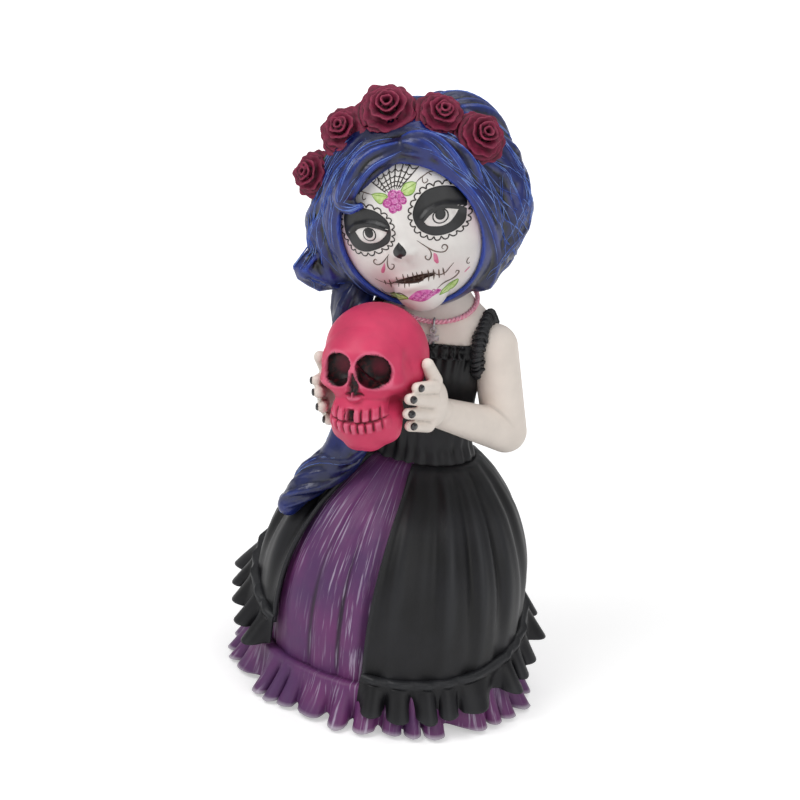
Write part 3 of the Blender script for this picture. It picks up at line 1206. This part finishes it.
def lock_strands(path, radii, count, seed, strand, turns):
    """Strands that lie on the outside of a lock and wind slowly round it."""
    n = 26
    spine = smooth_line(path, n)
    size = smooth_line([(r, 0, 0) for r in radii], n)
    lines = []
    side = Vector((1, 0, 0))
    frames = []
    for i in range(n):
        d = (spine[min(i + 1, n - 1)] - spine[max(i - 1, 0)]).normalized()
        side = (side - d * side.dot(d)).normalized()
        frames.append((side.copy(), d.cross(side)))
    for k in range(count):
        phase = 2 * math.pi * k / count + 0.35 * math.sin(seed + 5.1 * k)
        line = []
        for i in range(n):
            t = i / (n - 1)
            a = phase + turns * 2 * math.pi * t + 0.25 * math.sin(7 * t + k + seed)
            reach = size[i].x * (0.86 + 0.05 * math.sin(3.3 * k + 6 * t))
            p = spine[i] + frames[i][0] * (reach * math.cos(a)) + frames[i][1] * (reach * math.sin(a))
            r = strand * size[i].x / 8.5 * (0.9 + 0.3 * math.sin(2.7 * k + seed)) \
                * min(1, 0.35 + 3 * (1 - t), 0.5 + 4 * t)
            line.append((p, max(r, 0.3)))
        lines.append(line)
    return lines


def cap_strands(tree, sizes):
    """Strands combed from the parting over the cap and down the back, on the hair's own surface."""
    lines = []
    thick = sizes.strand_radius / MM
    for k in range(84):
        f = (k + 0.5) / 84
        swing = math.radians(-168 + 336 * f)
        line = []
        for i in range(30):
            t = i / 29
            fall = math.radians(14 + (128 + 10 * math.sin(k * 1.7)) * t)
            a = swing + 0.10 * math.sin(9 * t + k * 0.9) \
                + 0.30 * t * math.copysign(1, swing) * (1 - abs(swing) / math.pi)
            axis = Vector((0.08, -0.42, 0.90)).normalized()
            back = Vector((0, 1, 0)) - axis * axis.y
            back.normalize()
            right = axis.cross(back)
            d = axis * math.cos(fall) + (back * math.cos(a) + right * math.sin(a)) * math.sin(fall)
            world = HEAD_TURN @ d
            start = HEAD_CENTRE + HEAD_TURN @ Vector((1, 4, -1))
            hit, normal, _, _ = tree.ray_cast(start + world * 70, -world, 66)
            if hit is None or (hit - start).length < 21:
                break
            face = local(np.array([hit]), HEAD_CENTRE, HEAD_TURN)[0]
            if ((face[0]) / 22.5)**2 + ((face[2] + 6.9) / 26.6)**2 < 1 and face[1] < -4:
                break
            r = thick * (0.85 + 0.25 * math.sin(k * 2.3)) * min(1, 0.3 + 4 * t, 0.3 + 3 * (1 - t))
            line.append((hit - normal * r * 0.25, r))
        if len(line) > 4:
            lines.append(line)
    for side in (1, -1):
        for k in range(6):
            line = []
            for i in range(34):
                t = i / 33
                a = math.radians(90 - side * (6 + 2 * k + (146 - 5 * k) * t))
                wide = 22.6 + 1.7 * k + 0.5 * math.sin(7 * t + k)
                x, z = wide * math.cos(a), -6.9 + (wide + 4.1) * math.sin(a)
                hit, normal, _, _ = tree.ray_cast(head_point(x, -48, z), HEAD_TURN @ Vector((0, 1, 0)), 60)
                if hit is None:
                    break
                r = thick * (0.8 + 0.2 * math.sin(k * 2.9 + side)) * min(1, 0.3 + 4 * t, 0.25 + 3 * (1 - t))
                if line and (hit - line[-1][0]).length > 6:
                    break
                line.append((hit - normal * r * 0.2, r))
            if len(line) > 4:
                lines.append(line)
    return lines


def brushed_strokes(name, hair, lines, inside, seed):
    """Pale strokes drawn along the crests of the strands, as a nearly dry brush leaves them."""
    tree = surface(hair)
    chance = np.random.default_rng(seed)
    strokes = []
    for line in lines:
        for _ in range(3):
            n = len(line)
            first = int(chance.uniform(0, 0.7) * n)
            last = min(n, first + 3 + int(chance.uniform(0.15, 0.5) * n))
            side = chance.uniform(-0.8, 0.8)
            stroke = []
            for i in range(first, last):
                p, r = line[i]
                along = (line[min(i + 1, n - 1)][0] - line[max(i - 1, 0)][0]).normalized()
                out = (p - inside).normalized()
                out = (out - along * out.dot(along)).normalized()
                start = p + along.cross(out) * side * r + out * (r + 2.5)
                hit, normal, _, _ = tree.ray_cast(start, -out, 3.5)
                if hit is None:
                    break
                t = (i - first) / max(last - first - 1, 1)
                stroke.append((hit + normal * 0.02, 0.03 + 0.085 * math.sin(math.pi * t)))
            if len(stroke) > 3:
                strokes.append(stroke)
    paint = plain_finish(name + "_paint", shade("7C9ADB"), shade("244CB4"), 300, 0.5)
    settle(strands(name, strokes, 5), paint, "blue_hair")


def make_hair(sizes, colours):
    finish = hair_finish(colours)
    thick = sizes.strand_radius / MM
    core = cast("hair_core", ("hair_cap", "hair_back", "hair_left", "hair_right"), 0.8, 2)
    lines = cap_strands(surface(core), sizes)
    bpy.data.objects.remove(core)
    for path, base, shares, count, seed, turns in (
            (LOCK_LEFT, 8.5, (1, 1.06, .96, .74), 13, 1.0, 0.45),
            (LOCK_RIGHT, 8.5, (.7, .86, .92, .84, .6, .4), 13, 2.0, 0.7),
            (FRINGE_LEFT, 4.0, (.8, 1.0, 1, .6), 9, 3.0, 0.35),
            (FRINGE_RIGHT, 4.0, (.7, .92, .9, .72, .42, .14), 9, 4.0, -0.35)):
        lines += lock_strands([head_share(p) for p in path], [base * s for s in shares], count, seed,
                              thick * (1.25 if base > 5 else 2.0), turns)
    shown = list(lines)
    for path, radii in ((FRINGE_LEFT, (3.0, 3.7, 3.6, 2.2)), (FRINGE_RIGHT, (2.6, 3.3, 3.2, 2.6, 1.5, .5))):
        spine = smooth_line([head_share(p) for p in path], 30)
        size = smooth_line([(r, 0, 0) for r in radii], 30)
        lines.append([(p, max(r.x, 0.4)) for p, r in zip(spine, size)])
    extra = [strands("hair_strand_paths", lines, 9)]
    obj = cast("hair_locks", ("hair_cap", "hair_back", "hair_left", "hair_right"), 0.60, 1, extra)
    brushed_strokes("hair_brushed_strokes", obj, shown, HEAD_CENTRE, 1)
    relief(obj, 0.55, 16)
    settle(obj, finish, "blue_hair", "hair_cap", "hair_back", "hair_left", "hair_right", "fringe_left",
           "fringe_right")
    path = [head_share(p) for p in TRESS_TOP] + [on_skirt(*p) for p in TRESS_FOOT]
    lines = lock_strands(path, [5.4 * s for s in (1.1, 1.06, 1, .96, .93, .9, .8, .62)], 10, 5.0,
                         thick * 1.9, 1.3)
    end = path[-1]
    curl = [(end + Vector((3.4 * math.cos(a) * (1 - 0.1 * a) - 1.5, 1.6 - 0.9 * math.cos(a),
                           3.2 * math.sin(a) * (1 - 0.1 * a) - 1.0)), 1.5 * (1 - 0.11 * a))
            for a in (x * 0.35 for x in range(19))]
    lines.append(curl)
    obj = cast("front_tress_lock", ("front_tress",), 0.36, 1, [strands("tress_strand_paths", lines, 7)])
    brushed_strokes("tress_brushed_strokes", obj, lines, Vector((0, 8, 90)), 2)
    relief(obj, 0.55, 16)
    settle(obj, finish, "blue_hair", "front_tress")


def petal(name, wide, high, cup, curl, reach, thick):
    """One petal, standing on the rose's axis: a cupped leaf whose lip rolls outwards."""
    points, faces = [], []
    n, m = 12, 15
    for i in range(n):
        t = i / (n - 1)
        half = wide * (math.sin(math.pi * (0.14 + 0.62 * t))**0.75)
        for j in range(m):
            s = 2 * j / (m - 1) - 1
            lip = max(0, t - 0.62) / 0.38
            r = reach * (0.35 + 0.65 * math.sin(t * 1.45)) + curl * lip**1.6 * (1 - 0.35 * s * s)
            a = half * s / max(r, 0.6) * 0.92
            a = max(-1.3, min(1.3, a))
            z = high * (t - 0.10 * s * s * t) - 0.55 * curl * lip**2 - cup * (1 - t) * 0.2
            ruffle = 0.10 * reach * lip * math.sin(4.2 * s + wide)
            points.append(((r + ruffle) * math.cos(a), (r + ruffle) * math.sin(a), z))
    for i in range(n - 1):
        for j in range(m - 1):
            a = i * m + j
            faces.append((a, a + 1, a + m + 1, a + m))
    obj = new_object(name, points, faces)
    wall = obj.modifiers.new("Wall", "SOLIDIFY")
    wall.thickness = thick * MM
    wall.offset = 0
    return baked(obj)


def make_roses(sizes, colours):
    tree = whorl_tree()
    finish = rose_finish(colours)
    thick = sizes.petal_thickness / MM
    for number, (angle, radius) in enumerate(ROSES, 1):
        a = math.radians(angle)
        reach = 27.5 + 0.8 + 2.6
        centre = head_point(reach * math.cos(a), -7, reach * math.sin(a))
        out = Vector((math.cos(a), 0, math.sin(a)))
        axis = (HEAD_TURN @ (out + 1.1 * Vector((0.25, -1, 0)))).normalized()
        parts = []
        for ring, (count, share, high, curl, start, low) in enumerate((
                (7, 0.86, 0.62, 0.30, 0.0, -0.62), (6, 0.66, 0.74, 0.24, 0.5, -0.42),
                (5, 0.46, 0.84, 0.18, 0.2, -0.24), (4, 0.28, 0.84, 0.12, 0.9, -0.12),
                (3, 0.13, 0.80, 0.06, 0.4, -0.05))):
            leaf = petal("petal", radius * (0.30 + 0.42 * share), radius * high, radius * 0.2, radius * curl,
                         radius * share * 0.86, thick)
            whorl = grown(leaf, tree, Petals=count, Step=2 * math.pi / count, Start=start + number,
                          Unevenness=0.07, Seed=number * 7 + ring, Material=finish)
            whorl.data.transform(Matrix.Translation((0, 0, radius * low * MM)))
            parts.append(whorl)
        rose = joined("rose_%d_petals" % number, parts)
        rose.data.transform(Matrix.Translation(centre * MM)
                            @ axis.to_track_quat("Z", "Y").to_matrix().to_4x4())
        body = cast("rose_%d_bloom" % number, ("rose_%d" % number,), 0.5, 3)
        co, no = coordinates(body)
        along = (co - np.array(centre)) @ np.array(axis)
        put(body, co - no * (0.10 * radius) - np.outer(np.clip(along, 0, 99) * 0.55, np.array(axis)))
        rose = cast("rose_%d_bloom" % number, (), 0.26 if radius < 8 else 0.30, 1, [rose, body])
        rose.name = "rose_%d_bloom" % number
        relief(rose, 0.6, 16)
        settle(rose, finish, "rose", "rose_%d" % number)


def make_necklace(sizes, colours):
    loop, apart, thick, twists = 12, 0.36, 0.43, 30
    parts = []
    for k in range(2):
        line = []
        for i in range(361):
            a = 2 * math.pi * i / 360
            b = a * twists + math.pi * k
            reach = loop + apart * math.cos(b)
            p = Vector((reach * math.cos(a), reach * math.sin(a), apart * math.sin(b)))
            line.append((NECK_CENTRE + NECK_TURN @ p, thick))
        parts.append(strands("cord_strand_%d" % k, [line], 8))
    cord = joined("neck_cord_strands", parts)
    finish = plain_finish("pink_cord_thread", tuple(colours.cord), shade("F3BDCB"), 1500, 0.7, depth=0.0002)
    settle(cord, finish, "cord", "necklace")


def make_frame_finishes(sizes, colours):
    """Finishes for the parts that keep their own shapes."""
    silver = plain_finish("worn_silver", shade("DADADC"), shade("9B9B9F"), 1200, 0.34, 0.8)
    steel = plain_finish("wire_steel", shade("9A9C9F"), shade("6E7073"), 900, 0.35, 1.0)
    wood = plain_finish("beech_dowel", shade("C9A77A"), shade("A98356"), 260, 0.6, stretch=(6, 6, 0.5))
    board = plain_finish("grey_board", shade("A89F8E"), shade("8E8474"), 420, 0.85)
    felt = plain_finish("black_felt", shade("1B1B1D"), shade("323236"), 2500, 0.95, depth=0.0004)
    paper = plain_finish("paper_pulp", shade("B9B2A2"), shade("8F8878"), 300, 0.9, depth=0.0005)
    stem = plain_finish("green_stem", shade("2E3A22"), shade("48562F"), 500, 0.7)
    for node, finish in (("felt_pad", felt), ("base_board", board), ("armature_post", wood),
                         ("post_screw", steel), ("arm_wire", steel), ("wrist_pins", steel),
                         ("rose_wires", steel), ("skirt_core", paper), ("wreath_band", stem),
                         ("jump_ring", silver), ("pendant", silver)):
        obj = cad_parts[node]
        if not obj.material_slots:
            raise RuntimeError("no material slot on " + node)
        for s in obj.material_slots:
            s.material = finish


# where the camera stands, in millimetres; its turn, height and roll, in degrees; its focal length
CAMERA_AT, CAMERA_TURN, CAMERA_LENS = (274.594, -480.736, 291.681), (30, 20, 6), 88.4


def make_stage(sizes, colours):
    scene = bpy.context.scene
    floor = new_object("studio_floor", [(-4000, -4000, 0), (4000, -4000, 0), (4000, 9000, 0),
                                        (-4000, 9000, 0)], [(0, 1, 2, 3)])
    f = Finish("pale_floor", roughness=0.9, specular=0.0)
    f.done(f.mix(f.noise(3, 1), shade("E4E4E4"), shade("E8E8E8")))
    path = f.node("ShaderNodeLightPath")
    seen = f.node("ShaderNodeMath", path.outputs["Is Camera Ray"], path.outputs["Is Glossy Ray"],
                  operation="MAXIMUM")
    far = f.node("ShaderNodeVectorMath", f.place, operation="LENGTH")
    spread = f.node("ShaderNodeMapRange", Value=far.outputs["Value"], From_Min=0.12, From_Max=0.9,
                    To_Min=0.42, To_Max=0.95)
    glow = f.node("ShaderNodeMath", seen.outputs[0], spread.outputs["Result"], operation="MULTIPLY")
    f.shader.inputs["Emission Color"].default_value = (1, 1, 1, 1)
    feed(f.tree, f.shader.inputs["Emission Strength"], glow.outputs[0])
    floor.data.materials.append(f.material)
    world = bpy.data.worlds.new("studio")
    scene.world = world
    world.use_nodes = True
    tree = world.node_tree
    back = tree.nodes["Background"]
    path = wired(tree, "ShaderNodeLightPath")
    grow = wired(tree, "ShaderNodeMapRange", Value=path.outputs["Is Camera Ray"], To_Min=0.42, To_Max=1.0)
    feed(tree, back.inputs["Strength"], grow.outputs["Result"])
    back.inputs["Color"].default_value = (1, 1, 1, 1)
    for name, place, size, power in (
            ("key", (-0.25, -0.55, 0.75), 0.45, 3.5), ("fill", (0.75, -0.35, 0.45), 0.6, 1.9),
            ("top", (0.05, 0.25, 0.95), 0.6, 2.0)):
        lamp = bpy.data.lights.new(name, "AREA")
        lamp.size = size
        lamp.energy = power
        obj = placed(name, lamp)
        obj.location = place
        obj.rotation_euler = (Vector((0, 0, 0.1)) - Vector(place)).to_track_quat("-Z", "Y").to_euler()
    az, el, roll = (math.radians(x) for x in CAMERA_TURN)
    back = Vector((math.sin(az) * math.cos(el), -math.cos(az) * math.cos(el), math.sin(el)))
    level = Vector((math.cos(az), math.sin(az), 0))
    rise = back.cross(level)
    right = level * math.cos(roll) + rise * math.sin(roll)
    up = rise * math.cos(roll) - level * math.sin(roll)
    lens = bpy.data.cameras.new("camera")
    lens.sensor_width = 36
    lens.lens = CAMERA_LENS
    lens.clip_start = 0.02
    camera = placed("camera", lens)
    camera.matrix_world = Matrix.Translation(Vector(CAMERA_AT) * MM) @ Matrix(
        (right, up, back)).transposed().to_4x4()
    scene.camera = camera
    scene.view_settings.view_transform = "Standard"


# --- operators ------------------------------------------------------------------------------------

def maker(idname, label, about, *steps):
    """An operator that makes one piece, or a group of like pieces."""
    def execute(self, context):
        for step in steps:
            step(*settings())
        return {"FINISHED"}
    name = "CATRINA_OT_" + idname.split(".")[1]
    return type(name, (bpy.types.Operator,), {
        "__doc__": about, "bl_idname": idname, "bl_label": label, "bl_options": {"REGISTER"},
        "execute": execute})


def make_purple(sizes, colours):
    purple_finish(colours)


OPERATORS = (
    maker("catrina.stage", "Stage", "Sets the floor, the lights and the camera", make_stage),
    maker("catrina.frame_finishes", "Frame finishes", "Finishes the wood, wire, board, felt and silver",
          make_frame_finishes),
    maker("catrina.dress", "Dress", "Makes the skirts, ruffles, bodice, frill and straps", make_purple,
          make_overskirt, make_underskirt, make_hem_ruffle, make_overskirt_ruffle, make_bodice, make_straps),
    maker("catrina.flesh", "Arms and chest", "Makes the arms, hands, nails, chest and neck", make_flesh),
    maker("catrina.skull", "Skull", "Makes the pink skull", make_skull),
    maker("catrina.head", "Head", "Models the head", make_head),
    maker("catrina.face_paint", "Face paint", "Paints the face", make_face_paint),
    maker("catrina.hair", "Hair", "Makes the hair and the front tress", make_hair),
    maker("catrina.roses", "Roses", "Makes the roses of the wreath", make_roses),
    maker("catrina.necklace", "Neck cord", "Twists the neck cord", make_necklace),
)


class CATRINA_PT_panel(bpy.types.Panel):
    """Lists the makers of the figure's pieces."""
    bl_idname = "CATRINA_PT_panel"
    bl_label = "Catrina"
    bl_space_type = "VIEW_3D"
    bl_region_type = "UI"
    bl_category = "Catrina"

    def draw(self, context):
        for group in (context.scene.catrina_sizes, context.scene.catrina_colours):
            for name in group.bl_rna.properties.keys():
                if name not in {"rna_type", "name"}:
                    self.layout.prop(group, name)
        for operator in OPERATORS:
            self.layout.operator(operator.bl_idname)


CLASSES = (CatrinaSizes, CatrinaColours, *OPERATORS, CATRINA_PT_panel)


def register():
    for c in CLASSES:
        bpy.utils.register_class(c)
    bpy.types.Scene.catrina_sizes = bpy.props.PointerProperty(type=CatrinaSizes)
    bpy.types.Scene.catrina_colours = bpy.props.PointerProperty(type=CatrinaColours)


def unregister():
    del bpy.types.Scene.catrina_sizes
    del bpy.types.Scene.catrina_colours
    for c in reversed(CLASSES):
        bpy.utils.unregister_class(c)


def main():
    register()
    for operator in OPERATORS:
        group, name = operator.bl_idname.split(".")
        getattr(getattr(bpy.ops, group), name)()


if __name__ == "__main__":
    main()
